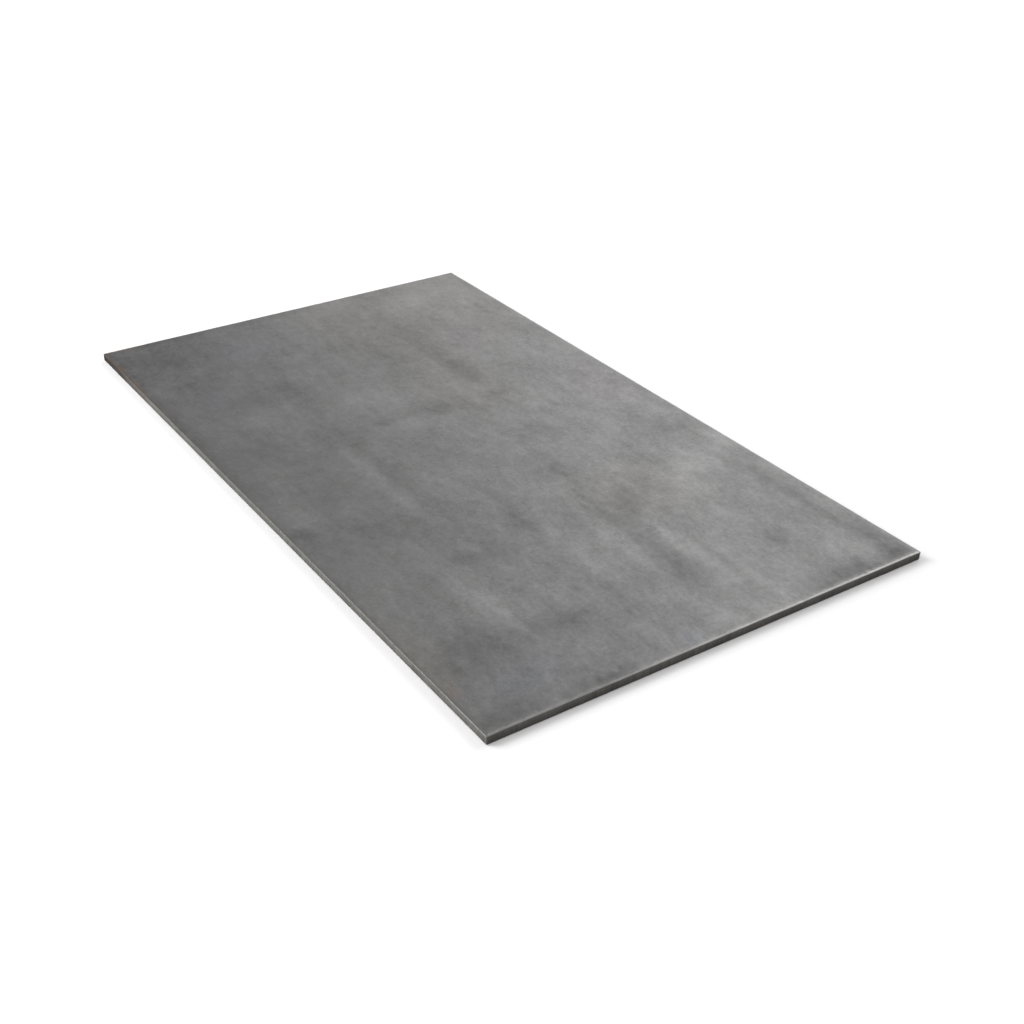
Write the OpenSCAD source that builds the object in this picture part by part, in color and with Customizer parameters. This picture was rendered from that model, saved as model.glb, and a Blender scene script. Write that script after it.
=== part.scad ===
// Hot-rolled steel plate, cut to a rectangle and laid flat.
// The origin is at the middle of the underside, +X runs along the length and +Z is up.

/* [Plate] */
// Length of the plate, along X
plate_length = 1000; // [200:1:3000]
// Width of the plate, along Y
plate_width = 600; // [100:1:2000]
// Rolled thickness of the plate
plate_thickness = 10; // [6:0.5:50]

/* [Edges] */
// Radius of the four corners, seen from above
corner_radius = 1.5; // [0.5:0.1:10]
// Radius of the top arris, where the cut pulls the surface over
top_arris_radius = 2; // [0.5:0.1:3]
// Width of the small bevel that takes the burr off the bottom arris
bottom_break = 0.4; // [0.1:0.1:2]

/* [Hidden] */
// Sides of a full circle where an arris or a corner is rounded
round_sides = 64;
// How far the outlines run past each other, so that they cut cleanly
overrun = 5;

// Outline of the plate from above: a rectangle with rounded corners
module plan_outline() {
    flat_length = plate_length - 2 * corner_radius;
    flat_width = plate_width - 2 * corner_radius;
    square([plate_length, flat_width], center = true);
    square([flat_length, plate_width], center = true);
    for (x = [-1, 1], y = [-1, 1])
        translate([x * flat_length / 2, y * flat_width / 2])
            circle(r = corner_radius, $fn = round_sides);
}

// Upright section of the plate between two opposite cut edges that are span apart
module cut_section(span) {
    half = span / 2;
    shoulder = plate_thickness - top_arris_radius;
    polygon([
        [-half + bottom_break, 0],
        [half - bottom_break, 0],
        [half, bottom_break],
        [half, shoulder],
        [-half, shoulder],
        [-half, bottom_break]
    ]);
    translate([-half + top_arris_radius, bottom_break])
        square([span - 2 * top_arris_radius, plate_thickness - bottom_break]);
    for (side = [-1, 1])
        translate([side * (half - top_arris_radius), shoulder])
            circle(r = top_arris_radius, $fn = round_sides);
}

// The plate: its plan outline, with the section of its ends and the section of its sides
module plate() {
    color([0.50, 0.50, 0.50])
        intersection() {
            linear_extrude(height = plate_thickness)
                plan_outline();
            rotate([90, 0, 0])
                linear_extrude(height = plate_width + 2 * overrun, center = true)
                    cut_section(plate_length);
            rotate([90, 0, 90])
                linear_extrude(height = plate_length + 2 * overrun, center = true)
                    cut_section(plate_width);
        }
}

plate();
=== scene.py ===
import math

import bpy
import numpy as np
from mathutils import Matrix, Vector, noise


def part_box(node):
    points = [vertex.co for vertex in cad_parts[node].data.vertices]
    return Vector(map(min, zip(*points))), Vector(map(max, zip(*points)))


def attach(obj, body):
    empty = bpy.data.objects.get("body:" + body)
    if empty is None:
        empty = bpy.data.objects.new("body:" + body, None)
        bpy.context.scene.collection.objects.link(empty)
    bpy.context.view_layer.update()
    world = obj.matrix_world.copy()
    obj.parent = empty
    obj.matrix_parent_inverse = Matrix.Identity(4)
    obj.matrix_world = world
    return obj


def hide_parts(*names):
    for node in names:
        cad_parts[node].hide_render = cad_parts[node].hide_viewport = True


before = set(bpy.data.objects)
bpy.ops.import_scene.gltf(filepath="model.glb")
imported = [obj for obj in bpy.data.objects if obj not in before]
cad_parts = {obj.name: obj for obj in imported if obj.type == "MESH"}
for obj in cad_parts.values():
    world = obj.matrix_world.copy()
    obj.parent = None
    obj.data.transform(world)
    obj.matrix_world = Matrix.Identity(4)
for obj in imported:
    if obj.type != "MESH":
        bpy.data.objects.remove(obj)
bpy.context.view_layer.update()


# ---------------------------------------------------------------------------------------
# The plate: one piece of 10 mm hot-rolled mild steel with its mill scale on, laid flat. Its
# long sides are sheared and its ends are torch-cut, and the ends are painted darker than the
# sides as shade. The cut pulls the skin over at the top arris. In some places the arris is worn
# bright and painted brighter there as its highlight. In others it is painted dark as shade. The
# burr is off below.

MM = 0.001
low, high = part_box("plate")
HALF_LENGTH = high.x
HALF_WIDTH = high.y
THICKNESS = high.z - low.z
CORNER_RADIUS = 1.5 * MM
# Outlines drawn in by this much or more have square corners
CORNER_FADE = 5 * MM
# The roll-over of the top arris: how far it reaches in over the face, and down the cut
ARRIS_WIDTH = 3.7 * MM
ARRIS_DROP = 0.75 * MM
BOTTOM_BREAK = 0.4 * MM
# How far the cut leans in at the bottom, and how deep its drag lines and its waves are
CUT_LEAN = 0.10 * MM
DRAG_DEPTH = 0.07 * MM
WAVE_DEPTH = 0.10 * MM
# Drag lines run down the cut, so down it they change this much more slowly than along it
DRAG_STRETCH = 0.35
# How far the long swells and the short ripples of rolling lower the top face
SWELL_DEPTH = 0.10 * MM
RIPPLE_DEPTH = 0.03 * MM
# They move only what lies this near the top, which is the face and the start of the arris
TOP_SKIN = 0.2 * MM
# The edges are meshed finely in a band this wide, and the two faces more coarsely inside it
EDGE_BAND = 20 * MM
EDGE_STEP = 2.0 * MM
TOP_STEP = 4.8 * MM
BOTTOM_STEP = 9.0 * MM
# Distances from a corner, in mm, at which the first columns of the band stand
CORNER_STEPS = (0, 0.35, 0.7, 1.05, 1.5, 2.2, 3.2, 4.5, 6.0)
# Over this stretch the columns of the band fan out towards the corner
FAN_REACH = 30 * MM
# Rows of the band: insets on the top face, turns of the arris, shares of the cut's height
TOP_INSETS = (EDGE_BAND, 17 * MM, 14 * MM, 11.5 * MM, 9.8 * MM, 8.6 * MM)
ARRIS_TURNS = (0, 15, 30, 45, 60, 75, 90)
# How much of the bright wear and painted highlight, and of the painted shade where there is none,
# reaches each of those turns
ARRIS_RUB_HIGHLIGHT = (0.3, 0.9, 1.0, 1.0, 0.4, 0.0, 0.0)
ARRIS_SHADE = (0.0, 0.1, 0.4, 0.8, 1.0, 1.0, 1.0)
CUT_SHARES = (0.15, 0.32, 0.50, 0.68, 0.85, 1.0)
# The row part way over the bottom bevel, and the insets of the rows on the underside, of which
# those nearer the edge than UNDER_WAVY follow the cut's unevenness
BEVEL_ROW = 0.3 * BOTTOM_BREAK
UNDER_INSETS = (BOTTOM_BREAK, 1.6 * MM, 4 * MM, 8 * MM, 13 * MM, EDGE_BAND)
UNDER_WAVY = 2 * MM


def wander(place, size, seed):
    """Smooth noise from -1 to 1 at a point, whose lumps are about size across."""
    return noise.noise(Vector(place) / size + Vector((seed, 7.3 * seed, 0.0)))


def steps_along(side):
    """Distances from one corner to the other along a side, closer together at both corners."""
    near = np.array(CORNER_STEPS) * MM
    count = round((side - 2 * near[-1]) / EDGE_STEP)
    middle = np.linspace(near[-1], side - near[-1], count + 1)
    return np.concatenate([near[:-1], middle, (side - near[:-1])[::-1]])


class Side:
    """One side of the outline, seen from above, going round anticlockwise."""

    def __init__(self, middle, along, length, arris_light):
        self.middle = np.array(middle)
        self.arris_light = arris_light
        self.along = np.array(along)
        self.outward = np.array((along[1], -along[0]))
        self.length = length
        self.steps = steps_along(length)[:-1]

    def ring(self, inset):
        """Points of this side of the outline, drawn in by inset, which has one for each column."""
        to_corner = np.minimum(self.steps, self.length - self.steps)
        end = np.where(self.steps < self.length / 2, -1.0, 1.0)
        fan = np.clip(1 - to_corner / FAN_REACH, 0, 1)
        run = self.length / 2 - to_corner - inset * fan
        out = -inset
        radius = np.clip(CORNER_RADIUS * (1 - inset / CORNER_FADE), 0, None)
        left = self.length / 2 - inset - run
        turned = (left < radius) & (radius > 0)
        angle = math.pi / 4 * (1 - left / np.maximum(radius, 1e-9))
        arc_run = self.length / 2 - inset - radius + radius * np.sin(angle)
        arc_out = -inset - radius + radius * np.cos(angle)
        run = np.where(turned, arc_run, run)
        out = np.where(turned, arc_out, out)
        return self.middle + np.outer(end * run, self.along) + np.outer(out, self.outward)


# The last pair is how bright the arris is at the start and at the end of the side: -1 where
# painted shade makes it black, 0 where it is like the face, and 1 where it is steel worn bright
# and painted brighter as its highlight
SIDES = [
    Side((0, -HALF_WIDTH), (1, 0), 2 * HALF_LENGTH, (-0.35, -0.15)),
    Side((HALF_LENGTH, 0), (0, 1), 2 * HALF_WIDTH, (0.1, 0.75)),
    Side((0, HALF_WIDTH), (-1, 0), 2 * HALF_LENGTH, (0.1, 0.0)),
    Side((-HALF_LENGTH, 0), (0, -1), 2 * HALF_WIDTH, (0.0, -0.4)),
]


def ring(inset):
    """The whole outline drawn in by inset, which holds one number or one for each column."""
    inset = np.broadcast_to(inset, sum(len(side.steps) for side in SIDES))
    start, parts = 0, []
    for side in SIDES:
        parts.append(side.ring(inset[start:start + len(side.steps)]))
        start += len(side.steps)
    return np.concatenate(parts)


def wander_along(outline, size, seed, height=0.0):
    """The same noise at each column of the outline, at one height."""
    return np.array([wander((x, y, height), size, seed) for x, y in outline])


def worn_corner(outline, reach):
    """From 1 at the corner that is knocked the most, +X with -Y, to about a third at reach."""
    away = np.hypot(outline[:, 0] - HALF_LENGTH, outline[:, 1] + HALF_WIDTH)
    return np.exp(-((away / reach) ** 2))


def arris_sizes(outline):
    """Size of the arris at each column, 1 being usual: uneven, and larger by the worn corner."""
    slow = 0.20 * wander_along(outline, 45 * MM, 1)
    quick = 0.15 * wander_along(outline, 9 * MM, 2)
    return 1 + (slow + quick) + 0.2 * worn_corner(outline, 70 * MM)


def cut_waviness(outline, height):
    """How far the cut lies inside the outline: a slight lean, drag lines and slow waves."""
    lean = CUT_LEAN * (1 - height / THICKNESS)
    lines = 0.5 + 0.5 * wander_along(outline, 5 * MM, 3, height * DRAG_STRETCH)
    waves = 0.5 + 0.5 * wander_along(outline, 60 * MM, 4)
    return lean + DRAG_DEPTH * lines + WAVE_DEPTH * waves


def edge_band():
    """Rings of the edge band, from the top face over the arris and the cut to the underside."""
    outline = ring(0.0)
    sizes = arris_sizes(outline)
    drops = ARRIS_DROP * sizes
    rows = []
    for inset in TOP_INSETS:
        rows.append((ring(inset), np.full(len(outline), THICKNESS)))
    for turn in np.radians(ARRIS_TURNS):
        inset = ARRIS_WIDTH * sizes * (1 - math.sin(turn)) + cut_waviness(outline, THICKNESS)
        rows.append((ring(inset), THICKNESS - drops * (1 - math.cos(turn))))
    for share in CUT_SHARES:
        height = (THICKNESS - drops) * (1 - share) + BOTTOM_BREAK * share
        rows.append((ring(cut_waviness(outline, float(height.mean()))), height))
    under = cut_waviness(outline, 0.0)
    rows.append((ring(under + BEVEL_ROW), np.full(len(outline), BEVEL_ROW)))
    for inset in UNDER_INSETS:
        rows.append((ring(under * (inset < UNDER_WAVY) + inset), np.zeros(len(outline))))
    return [np.column_stack([flat, height]) for flat, height in rows]


def face_grid(step, height):
    """A flat grid inside the edge band: its points, its quads facing up, and its four rims."""
    reach_x, reach_y = HALF_LENGTH - EDGE_BAND - step, HALF_WIDTH - EDGE_BAND - step
    xs = np.linspace(-reach_x, reach_x, round(2 * reach_x / step) + 1)
    ys = np.linspace(-reach_y, reach_y, round(2 * reach_y / step) + 1)
    points = [(x, y, height) for y in ys for x in xs]
    wide = len(xs)
    quads = [
        (j * wide + i, j * wide + i + 1, (j + 1) * wide + i + 1, (j + 1) * wide + i)
        for j in range(len(ys) - 1)
        for i in range(wide - 1)
    ]
    rim = [
        list(range(wide)),
        [(j + 1) * wide - 1 for j in range(len(ys))],
        [len(ys) * wide - 1 - i for i in range(wide)],
        [(len(ys) - 1 - j) * wide for j in range(len(ys))],
    ]
    return points, quads, rim


def zip_rows(outer, inner):
    """Triangles between two rows of vertices that run side by side from end to end."""
    faces, i, j = [], 0, 0
    while i < len(outer) - 1 or j < len(inner) - 1:
        outer_next = (i + 1) / (len(outer) - 1)
        inner_next = (j + 1) / (len(inner) - 1)
        if j == len(inner) - 1 or (i < len(outer) - 1 and outer_next <= inner_next):
            faces.append((outer[i], outer[i + 1], inner[j]))
            i += 1
        else:
            faces.append((outer[i], inner[j + 1], inner[j]))
            j += 1
    return faces


def plate_mesh():
    """The plate's skin as one closed mesh."""
    points, faces = [], []
    band = edge_band()
    columns = len(band[0])
    for row in band:
        points.extend(map(tuple, row))
    for row in range(len(band) - 1):
        for column in range(columns):
            after = (column + 1) % columns
            here, below = row * columns, (row + 1) * columns
            faces.append((here + column, below + column, below + after, here + after))
    side_starts = np.cumsum([0] + [len(side.steps) for side in SIDES])
    for first, step, height, upward in (
        (0, TOP_STEP, THICKNESS, True),
        ((len(band) - 1) * columns, BOTTOM_STEP, 0.0, False),
    ):
        grid, quads, rim = face_grid(step, height)
        base = len(points)
        points.extend(grid)
        new = [tuple(base + v for v in quad) for quad in quads]
        for side, inner in enumerate(rim):
            run = range(side_starts[side], side_starts[side + 1] + 1)
            outer = [first + column % columns for column in run]
            new.extend(zip_rows(outer, [base + v for v in inner]))
        faces.extend(new if upward else [face[::-1] for face in new])
    mesh = bpy.data.meshes.new("plate_skin")
    mesh.from_pydata(points, [], faces)
    return mesh


def uneven(mesh):
    """Gives the top face the slight waviness of a rolled plate, always downwards."""
    for vertex in mesh.vertices:
        co = vertex.co
        if co.z > THICKNESS - TOP_SKIN:
            swell = 0.5 + 0.5 * wander((co.x, co.y, 0), 170 * MM, 5)
            ripple = 0.5 + 0.5 * wander((co.x * 0.4, co.y, 0), 35 * MM, 6)
            co.z -= SWELL_DEPTH * swell + RIPPLE_DEPTH * ripple


def paint_arris_highlight_shade(mesh):
    """Stores on each vertex how far the arris is painted bright, as worn steel and as its
    highlight, and below 0 how far painted shade darkens it.
    """
    outline = ring(0.0)
    column_highlight_shade = []
    for side in SIDES:
        start, end = side.arris_light
        column_highlight_shade.append(start + (end - start) * side.steps / side.length)
    column_highlight_shade = np.concatenate(column_highlight_shade) + 0.25 * worn_corner(outline, 60 * MM)
    blotches = 0.4 * wander_along(outline, 28 * MM, 8)
    column_highlight_shade = np.clip(column_highlight_shade * (1 + blotches), -1, 1)
    rub_highlight_shade = np.zeros(len(mesh.vertices), dtype=np.float32)
    for row, (arris_light, painted_shade) in enumerate(zip(ARRIS_RUB_HIGHLIGHT, ARRIS_SHADE)):
        start = (len(TOP_INSETS) + row) * len(outline)
        rub_highlight_shade[start:start + len(outline)] = column_highlight_shade * np.where(column_highlight_shade > 0, arris_light, painted_shade)
    values = mesh.attributes.new("rub_highlight_shade", "FLOAT", "POINT")
    values.data.foreach_set("value", rub_highlight_shade)


def sort_faces(mesh):
    """Gives each face its finish: 0 the rolled skin, 1 a sheared side, 2 a torch-cut end, painted
    darker as shade.
    """
    columns = sum(len(side.steps) for side in SIDES)
    first_row = len(TOP_INSETS) + len(ARRIS_TURNS) - 2
    finishes = np.zeros(len(mesh.polygons), dtype=np.int32)
    of_column = np.repeat([1, 2, 1, 2], [len(side.steps) for side in SIDES])
    for row in range(first_row, first_row + 1 + len(CUT_SHARES)):
        finishes[row * columns:(row + 1) * columns] = of_column
    mesh.polygons.foreach_set("material_index", finishes)


skin = plate_mesh()
uneven(skin)
paint_arris_highlight_shade(skin)
skin.polygons.foreach_set("use_smooth", [True] * len(skin.polygons))
plate = bpy.data.objects.new("hot_rolled_plate", skin)
bpy.context.scene.collection.objects.link(plate)


class Finish:
    """A material's node tree, with a short call for each kind of node that a finish uses."""

    def __init__(self, name):
        self.material = bpy.data.materials.new(name)
        self.material.use_nodes = True
        self.tree = self.material.node_tree
        self.shader = self.tree.nodes["Principled BSDF"]

    def feed(self, socket, value):
        """Links a socket to another one, or sets it to a plain value."""
        if isinstance(value, bpy.types.NodeSocket):
            self.tree.links.new(value, socket)
        else:
            socket.default_value = value

    def node(self, kind, inputs=None, **settings):
        """Adds a node, makes its settings, and feeds its inputs by name or by number."""
        made = self.tree.nodes.new("ShaderNode" + kind)
        for setting, value in settings.items():
            setattr(made, setting, value)
        for key, value in (inputs or {}).items():
            self.feed(made.inputs[key], value)
        return made

    def place(self):
        """Where a point lies on the plate, in metres."""
        return self.node("TexCoord").outputs["Object"]

    def attribute(self, name):
        """A number stored on the mesh's points."""
        return self.node("Attribute", attribute_name=name).outputs["Fac"]

    def math(self, operation, first, second=0.0, third=0.0, clamp=False):
        """One step of arithmetic."""
        inputs = {0: first, 1: second, 2: third}
        return self.node("Math", inputs, operation=operation, use_clamp=clamp).outputs[0]

    def vector(self, operation, first, second):
        """One step of arithmetic on places or directions."""
        return self.node("VectorMath", {0: first, 1: second}, operation=operation).outputs[0]

    def stretched(self, vector, scale):
        """The same place in a space stretched by scale along x, y and z."""
        return self.node("Mapping", {"Vector": vector, "Scale": scale}).outputs[0]

    def lumps(self, vector, size, detail, roughness=0.5):
        """Cloudy noise from 0 to 1 whose lumps are about size across."""
        inputs = {
            "Vector": vector, "Scale": 1 / size, "Detail": detail, "Roughness": roughness,
        }
        return self.node("TexNoise", inputs).outputs["Fac"]

    def spread(self, value, low, high, to_low, to_high, shape="LINEAR"):
        """Turns the range from low to high into the range from to_low to to_high."""
        inputs = {0: value, 1: low, 2: high, 3: to_low, 4: to_high}
        return self.node("MapRange", inputs, interpolation_type=shape).outputs[0]

    def blend(self, amount, under, over, blend_type="MIX"):
        """One colour laid over another by amount."""
        made = self.node("Mix", {0: amount, 6: under, 7: over},
                         data_type="RGBA", blend_type=blend_type)
        return made.outputs[2]

    def raise_by(self, relief, depth):
        """Bumps the surface up by at most depth where relief is high."""
        inputs = {"Strength": BUMP_STRENGTH, "Distance": depth, "Height": relief}
        self.feed(self.shader.inputs["Normal"], self.node("Bump", inputs).outputs["Normal"])

    def patch(self, vector, mark):
        """A soft-edged oval on the plate, from 0 around it to its own strength inside.

        mark is (u, v, length, width, turn, strength): u and v are shares of the plate's half
        length and half width, length and width are half sizes in mm, and turn is in degrees.
        """
        u, v, length, width, turn, strength = mark
        inputs = {
            "Vector": vector,
            "Location": (u * HALF_LENGTH, v * HALF_WIDTH, 0),
            "Rotation": (0, 0, math.radians(turn)),
            "Scale": (2 * length * MM, 2 * width * MM, 1.0),
        }
        oval = self.node("Mapping", inputs, vector_type="TEXTURE").outputs[0]
        cone = self.node("TexGradient", {0: oval}, gradient_type="SPHERICAL").outputs["Fac"]
        return self.spread(cone, 0, 1, 0, strength, "SMOOTHSTEP")

    def patches(self, vector, marks):
        """The sum of many patches."""
        total = self.patch(vector, marks[0])
        for mark in marks[1:]:
            total = self.math("ADD", total, self.patch(vector, mark))
        return total


# Streaks that the rolls and the cooling sprays left along the plate, each as its place in
# shares of the half length and half width, its half sizes in mm, its turn and its strength
STREAKS = [
    (0.76, 0.90, 75, 8, 0, -15),
    (0.52, 0.88, 50, 9, 8, -12),
    (0.80, 0.32, 35, 7, 0, -10),
    (0.68, 0.26, 60, 9, 0, 12),
    (0.90, 0.35, 40, 10, 10, 12),
    (0.76, 0.14, 70, 12, 0, -8),
    (0.55, 0.16, 60, 9, 0, -6),
    (0.60, 0.07, 55, 11, 0, 9),
    (0.55, -0.10, 50, 9, 0, 9),
    (0.40, -0.16, 45, 8, -4, -11),
    (0.70, -0.18, 65, 9, 0, -10),
    (0.08, 0.22, 90, 9, 0, -9),
    (0.08, -0.40, 100, 9, 0, -10),
    (0.06, -0.48, 85, 8, 0, 15),
    (-0.70, -0.38, 110, 12, 0, -7),
    (-0.30, -0.40, 80, 12, 0, -8),
    (-0.60, 0.38, 130, 16, 0, -7),
    (-0.65, 0.12, 75, 13, 0, -7),
]
# Clouds where the scale is thicker, or a wet stain has dried
DARK_CLOUDS = [
    (0.48, 0.26, 28, 14, -28, -15),
    (0.77, 0.60, 14, 17, 0, -12),
    (0.26, 0.17, 13, 26, 0, -9),
    (0.22, 0.88, 14, 26, 0, -9),
    (0.48, 0.68, 12, 16, 0, -10),
    (0.78, -0.44, 17, 45, 0, -10),
    (0.77, -0.78, 34, 45, 0, -13),
    (0.90, -0.50, 60, 55, 0, -7),
    (0.46, -0.48, 13, 22, 0, -9),
    (0.26, -0.62, 30, 50, 0, -8),
    (0.17, -0.95, 13, 14, 0, -18),
    (-0.41, 0.37, 33, 12, 4, -12),
    (-0.30, 0.35, 20, 13, 20, -9),
    (-0.19, 0.37, 10, 14, 0, -14),
    (-0.69, 0.87, 20, 8, 0, -14),
    (-0.18, 0.09, 12, 32, -12, -12),
    (-0.21, -0.16, 9, 55, 6, -12),
    (-0.50, -0.39, 32, 24, 0, -9),
    (-0.50, -0.60, 30, 14, 20, -9),
    (-0.88, -0.80, 110, 60, 0, -14),
]
# Clouds where the scale is thin, and rubs left by what lay on the plate
PALE_CLOUDS = [
    (0.40, 0.76, 36, 26, 10, 17),
    (0.47, 0.58, 36, 18, -38, 16),
    (0.34, 0.95, 32, 16, 0, 11),
    (0.96, 0.15, 17, 65, 0, 11),
    (0.59, -0.60, 44, 17, 0, 19),
    (0.74, -0.57, 36, 7, 5, 12),
    (0.89, -0.42, 32, 26, 0, 5),
    (0.13, -0.87, 20, 26, 0, 14),
    (0.01, -0.87, 65, 14, 0, 9),
    (0.50, -0.88, 60, 24, 0, 13),
    (-0.88, 0.58, 26, 32, 20, 12),
    (-0.86, 0.83, 70, 40, 0, 8),
    (-0.31, -0.09, 34, 38, 20, 13),
    (-0.15, -0.08, 11, 38, -10, 11),
    (-0.38, -0.63, 36, 29, 20, 13),
]
# Grime and lifted scale along the rim and in the corners
RIM_STAINS = [
    (0.99, 0.75, 20, 75, 0, -26),
    (0.93, 0.94, 38, 16, -12, -20),
    (0.99, -0.50, 10, 40, 0, -16),
    (0.98, -0.90, 15, 30, 0, -22),
    (-0.60, -0.99, 220, 9, 0, -15),
    (-0.99, -0.50, 9, 130, 0, -13),
]
# Faint colours in the scale: straw and mauve heat tints, blue, and rust by the -Y edge
BLOOMS = [
    ((0.220, 0.205, 0.184, 1), [
        (-0.82, 0.55, 130, 120, 0, 0.45),
        (0.43, 0.37, 50, 60, -20, 0.22),
        (-0.30, 0.28, 70, 55, 0, 0.25),
        (0.74, -0.97, 70, 16, 0, 0.5),
    ]),
    ((0.215, 0.196, 0.208, 1), [
        (-0.08, 0.87, 60, 38, 0, 0.45),
        (-0.60, 0.63, 60, 22, -20, 0.45),
        (-0.79, 0.37, 34, 15, -35, 0.8),
    ]),
    ((0.190, 0.200, 0.228, 1), [
        (-0.80, -0.40, 60, 70, 0, 0.25),
        (-0.56, -0.77, 85, 30, 0, 0.25),
        (0.90, -0.72, 30, 50, 0, 0.3),
        (0.96, -0.11, 7, 13, -20, 0.35),
    ]),
    ((0.30, 0.165, 0.09, 1), [
        (-0.84, -1.0, 90, 3, 0, 0.5),
        (0.85, -0.97, 10, 4, 0, 0.2),
        (-0.99, -0.90, 4, 30, 0, 0.25),
    ]),
]
# What is finer than those marks: clouds, puffs, mottle, rolling lines and grain, each as its
# squeeze along the plate, its size in mm, its detail and roughness, and its strength
TONE_LAYERS = [
    (1.0, 130, 4, 0.55, 16),
    (0.7, 35, 7, 0.65, 34),
    (1.0, 12, 4, 0.60, 20),
    (0.25, 10, 5, 0.65, 14),
    (1.0, 4.5, 5, 0.80, 40),
]
# A mark or a layer with a strength of 1 makes the scale lighter by this share
TONE_UNIT = 0.01
# Swirls shift the marks by up to half of SMEAR each way, which frays their edges
SWIRLS_PER_METRE = 22
SMEAR = (60 * MM, 34 * MM, 0)
SCALE_GREY = (0.205, 0.204, 0.203, 1)
# Steel worn through the scale, painted on the arris bright enough to stand for its highlight
BARE_STEEL_HIGHLIGHT = (0.56, 0.55, 0.535, 1)
# The painted shade that darkens the arris
ARRIS_SHADE_GREY = (0.06, 0.058, 0.055, 1)
RUSTY_SOOT = (0.030, 0.020, 0.016, 1)
# Roughness of the scale, and what a point of tone, full painted shade and full worn highlight add
# to it
SCALE_ROUGHNESS = 0.43
ROUGHER_BY_TONE = -0.0012
ROUGHER_BY_SHADE = 0.3
ROUGHER_BY_RUB_HIGHLIGHT = 0.03
SCALE_METALLIC = 0.85
# Depth of the grain in the scale, and of the drag lines in the cut, as bump
GRAIN_DEPTH = 0.10 * MM
DRAG_BUMP_DEPTH = 0.15 * MM
BUMP_STRENGTH = 0.35
# A cut face is nearly matt: its roughness where it is dark and where it is pale
CUT_ROUGHNESS = (0.62, 0.48)
CUT_METALLIC = 0.05
CUT_SPECULAR = 0.04
# The soot fades out at this share of the half length
SOOT_END = -0.6


def smeared(finish, place, spot):
    """The place on the plate, seen from above and stirred, so that marks get frayed edges."""
    swirls = {"Vector": spot, "Scale": SWIRLS_PER_METRE, "Detail": 8, "Roughness": 0.62}
    swirl = finish.node("TexNoise", swirls).outputs["Color"]
    drift = finish.vector("SUBTRACT", swirl, (0.5, 0.5, 0.5))
    drift = finish.vector("MULTIPLY", drift, SMEAR)
    flat = finish.vector("MULTIPLY", place, (1, 1, 0))
    return finish.vector("ADD", flat, drift)


def scale_tone(finish, marks, spot):
    """Lightness of the scale in points around 0: the marks, and what is finer than they are."""
    ragged = finish.spread(finish.lumps(spot, 18 * MM, 6, 0.65), 0.3, 0.7, 0.7, 1.9)
    tone = finish.math("MULTIPLY", marks, ragged)
    for squeeze, size, detail, roughness, strength in TONE_LAYERS:
        pulled = finish.stretched(spot, (squeeze, 1, 1))
        layer = finish.lumps(pulled, size * MM, detail, roughness)
        tone = finish.math("ADD", tone, finish.spread(layer, 0, 1, -strength, strength))
    return tone


def mill_scale():
    """The skin of the two faces, and the arris where it is painted bright as worn steel and
    highlight, and dark as shade.
    """
    finish = Finish("mill_scale")
    place = finish.place()
    # The two faces differ, because the texture's depth runs much faster than the plate's
    spot = finish.stretched(place, (1, 1, 40))
    stirred = smeared(finish, place, spot)
    height = finish.node("SeparateXYZ", {0: place}).outputs["Z"]
    on_top = finish.math("GREATER_THAN", height, THICKNESS / 2)

    marks = finish.patches(stirred, STREAKS + DARK_CLOUDS + PALE_CLOUDS + RIM_STAINS)
    tone = scale_tone(finish, finish.math("MULTIPLY", marks, on_top), spot)
    colour = SCALE_GREY
    for tint, ovals in BLOOMS:
        amount = finish.math("MULTIPLY", finish.patches(stirred, ovals), on_top, clamp=True)
        colour = finish.blend(amount, colour, tint)
    lightness = finish.math("MULTIPLY_ADD", tone, TONE_UNIT, 1.0)
    colour = finish.blend(1.0, colour, lightness, "MULTIPLY")

    # On the arris, rub_highlight_shade is above 0 where worn steel is painted bright as its
    # highlight and below 0 where painted shade darkens it
    patchy = finish.spread(finish.lumps(spot, 6 * MM, 4, 0.6), 0.3, 0.7, 0.65, 1.35)
    rub_highlight_shade = finish.math("MULTIPLY", finish.attribute("rub_highlight_shade"), patchy)
    bare_highlight = finish.spread(rub_highlight_shade, 0, 1, 0, 1)
    painted_shade = finish.spread(rub_highlight_shade, -1, 0, 1, 0)
    colour = finish.blend(painted_shade, colour, ARRIS_SHADE_GREY)
    finish.feed(finish.shader.inputs["Base Color"], finish.blend(bare_highlight, colour, BARE_STEEL_HIGHLIGHT))

    # Thin, pale scale is a little glossier than thick, dark scale
    sheen = finish.math("MULTIPLY_ADD", tone, ROUGHER_BY_TONE, SCALE_ROUGHNESS)
    sheen = finish.math("MULTIPLY_ADD", painted_shade, ROUGHER_BY_SHADE, sheen)
    sheen = finish.math("MULTIPLY_ADD", bare_highlight, ROUGHER_BY_RUB_HIGHLIGHT, sheen, clamp=True)
    finish.feed(finish.shader.inputs["Roughness"], sheen)
    finish.shader.inputs["Metallic"].default_value = SCALE_METALLIC
    grain = finish.lumps(spot, 1.8 * MM, 4, 0.6)
    finish.raise_by(finish.math("ADD", grain, finish.lumps(spot, 7 * MM, 3)), GRAIN_DEPTH)
    return finish.material


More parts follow.
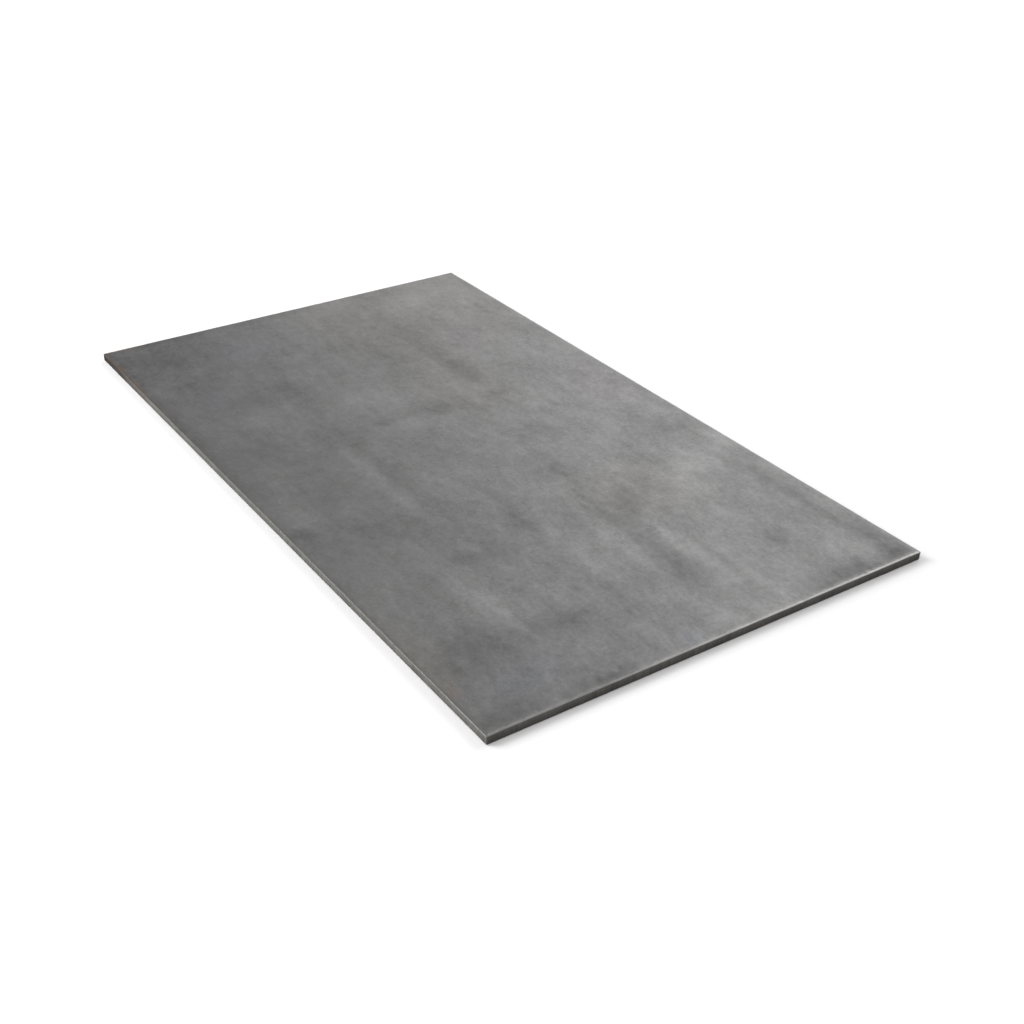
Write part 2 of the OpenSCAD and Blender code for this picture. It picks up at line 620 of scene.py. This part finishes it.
def cut_face(name, dark, pale, sootiness):
    """A cut face: oxide over fine drag lines down it, darker towards the bottom, and rusty soot
    towards the -X end.
    """
    finish = Finish(name)
    place = finish.place()
    along, _, height = finish.node("SeparateXYZ", {0: place}).outputs
    drag = finish.lumps(finish.stretched(place, (1, 1, 0.15)), 2.2 * MM, 4, 0.6)
    blotch = finish.spread(finish.lumps(place, 30 * MM, 4, 0.6), 0.25, 0.75, -0.3, 0.3)
    # The cut is made darker towards the bottom and lighter towards the top
    upper = finish.spread(height, 0, THICKNESS, -0.35, 0.35)
    mix = finish.math("ADD", finish.spread(drag, 0.25, 0.75, 0.2, 0.8), upper)
    mix = finish.math("ADD", mix, blotch, clamp=True)
    soot = finish.spread(
        along, -HALF_LENGTH, SOOT_END * HALF_LENGTH, sootiness, 0, "SMOOTHSTEP")
    cut = finish.blend(soot, finish.blend(mix, dark, pale), RUSTY_SOOT)
    finish.feed(finish.shader.inputs["Base Color"], cut)
    finish.feed(finish.shader.inputs["Roughness"], finish.spread(mix, 0, 1, *CUT_ROUGHNESS))
    finish.shader.inputs["Metallic"].default_value = CUT_METALLIC
    finish.shader.inputs["Specular IOR Level"].default_value = CUT_SPECULAR
    finish.raise_by(drag, DRAG_BUMP_DEPTH)
    return finish.material


skin.materials.append(mill_scale())
skin.materials.append(
    cut_face("sheared_side", (0.110, 0.107, 0.098, 1), (0.212, 0.208, 0.194, 1), 0.95))
# The ends' colours are painted shade: darker than the sides', for the end that faces away from the
# key box
skin.materials.append(
    cut_face("torch_cut_end_shaded", (0.056, 0.054, 0.050, 1), (0.124, 0.119, 0.110, 1), 0.15))

sort_faces(skin)

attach(plate, "root")
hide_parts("plate")


# ---------------------------------------------------------------------------------------
# The floor: a plain white sheet under the plate, which is not part of it. It glows by itself
# away from the plate, so that it runs into the white room with no line between them.

FLOOR_REACH = 5.0
FLOOR_WHITE = (0.95, 0.95, 0.95, 1)
# Distances from the plate's middle at which the glow starts and is full, and its full strength
GLOW_START = 1.3
GLOW_FULL = 3.0
GLOW = 0.7
# The plate bears on its high spots, so its rim stands this far off the floor
FLOOR_GAP = 0.8 * MM
floor_mesh = bpy.data.meshes.new("floor")
floor_mesh.from_pydata(
    [(-FLOOR_REACH, -FLOOR_REACH, 0), (FLOOR_REACH, -FLOOR_REACH, 0),
     (FLOOR_REACH, FLOOR_REACH, 0), (-FLOOR_REACH, FLOOR_REACH, 0)],
    [],
    [(0, 1, 2, 3)],
)
floor = bpy.data.objects.new("floor", floor_mesh)
floor.location.z = low.z - FLOOR_GAP
bpy.context.scene.collection.objects.link(floor)
floor_paint = bpy.data.materials.new("white_floor")
floor_paint.use_nodes = True
floor_shader = floor_paint.node_tree.nodes["Principled BSDF"]
floor_shader.inputs["Base Color"].default_value = FLOOR_WHITE
floor_shader.inputs["Roughness"].default_value = 0.9
floor_shader.inputs["Specular IOR Level"].default_value = 0.0
floor_shader.inputs["Emission Color"].default_value = (1, 1, 1, 1)
floor_nodes = floor_paint.node_tree
floor_place = floor_nodes.nodes.new("ShaderNodeTexCoord")
from_plate = floor_nodes.nodes.new("ShaderNodeVectorMath")
from_plate.operation = "LENGTH"
glow = floor_nodes.nodes.new("ShaderNodeMapRange")
glow.interpolation_type = "SMOOTHSTEP"
glow.inputs["From Min"].default_value = GLOW_START
glow.inputs["From Max"].default_value = GLOW_FULL
glow.inputs["To Max"].default_value = GLOW
floor_nodes.links.new(floor_place.outputs["Object"], from_plate.inputs[0])
floor_nodes.links.new(from_plate.outputs["Value"], glow.inputs["Value"])
floor_nodes.links.new(glow.outputs["Result"], floor_shader.inputs["Emission Strength"])
floor_mesh.materials.append(floor_paint)


# ---------------------------------------------------------------------------------------
# The light: a white room that fills the shadows, and large soft boxes round the plate. The
# strongest stands off its -X and -Y corner, and two low ones past its -X end show in the scale.

# Strength of the room's light on the plate, and how far the boxes stand from the plate's middle
ROOM_FILL = 0.27
BOX_DISTANCE = 5.8

world = bpy.data.worlds.new("studio")
bpy.context.scene.world = world
world.use_nodes = True
background = world.node_tree.nodes["Background"]
background.inputs["Color"].default_value = (1, 1, 1, 1)
# The room looks white past the floor's far edge, but lights the plate with less than that
rays = world.node_tree.nodes.new("ShaderNodeLightPath")
room = world.node_tree.nodes.new("ShaderNodeMapRange")
room.inputs["To Min"].default_value = ROOM_FILL
room.inputs["To Max"].default_value = 1.0
world.node_tree.links.new(rays.outputs["Is Camera Ray"], room.inputs["Value"])
world.node_tree.links.new(room.outputs["Result"], background.inputs["Strength"])


def soft_box(name, azimuth, elevation, size, power):
    """A square area light that faces the plate, azimuth counted from +X towards +Y."""
    lamp = bpy.data.lights.new(name, "AREA")
    lamp.shape = "SQUARE"
    lamp.size = size
    lamp.energy = power
    azimuth, elevation = math.radians(azimuth), math.radians(elevation)
    away = Vector((
        math.cos(elevation) * math.cos(azimuth),
        math.cos(elevation) * math.sin(azimuth),
        math.sin(elevation),
    ))
    box = bpy.data.objects.new(name, lamp)
    box.location = away * BOX_DISTANCE
    box.rotation_euler = away.to_track_quat("Z", "Y").to_euler()
    bpy.context.scene.collection.objects.link(box)


soft_box("key_box", 230, 35, 3.5, 285)
soft_box("front_box", 320, 60, 3.5, 100)
soft_box("right_box", 90, 35, 3.5, 80)
soft_box("back_box", 125, 30, 3.5, 52)
soft_box("low_back_box", 145, 12, 2.4, 16)
soft_box("low_left_box", 160, 12, 2.4, 10)

scene = bpy.context.scene
scene.view_settings.view_transform = "Standard"


# ---------------------------------------------------------------------------------------
# The camera: a normal lens, its head tilted sideways by less than a degree. It stands off the
# corner of +X and -Y, and looks down and across the plate.

LENS = 49.09
SENSOR_WIDTH = 36
SHIFT = 0.0425
STAND = (1.3323, -0.8765, 0.8792)
HEADING, LOOK_DOWN, TILT = map(math.radians, (56.41, 31.50, 0.746))
camera_data = bpy.data.cameras.new("camera")
camera_data.lens = LENS
camera_data.sensor_width = SENSOR_WIDTH
camera_data.shift_x = SHIFT
camera = bpy.data.objects.new("camera", camera_data)
camera.location = STAND
camera.rotation_euler = (
    Matrix.Rotation(HEADING, 3, "Z") @ Matrix.Rotation(math.pi / 2 - LOOK_DOWN, 3, "X")
    @ Matrix.Rotation(TILT, 3, "Z")
).to_euler()
bpy.context.scene.collection.objects.link(camera)
scene.camera = camera
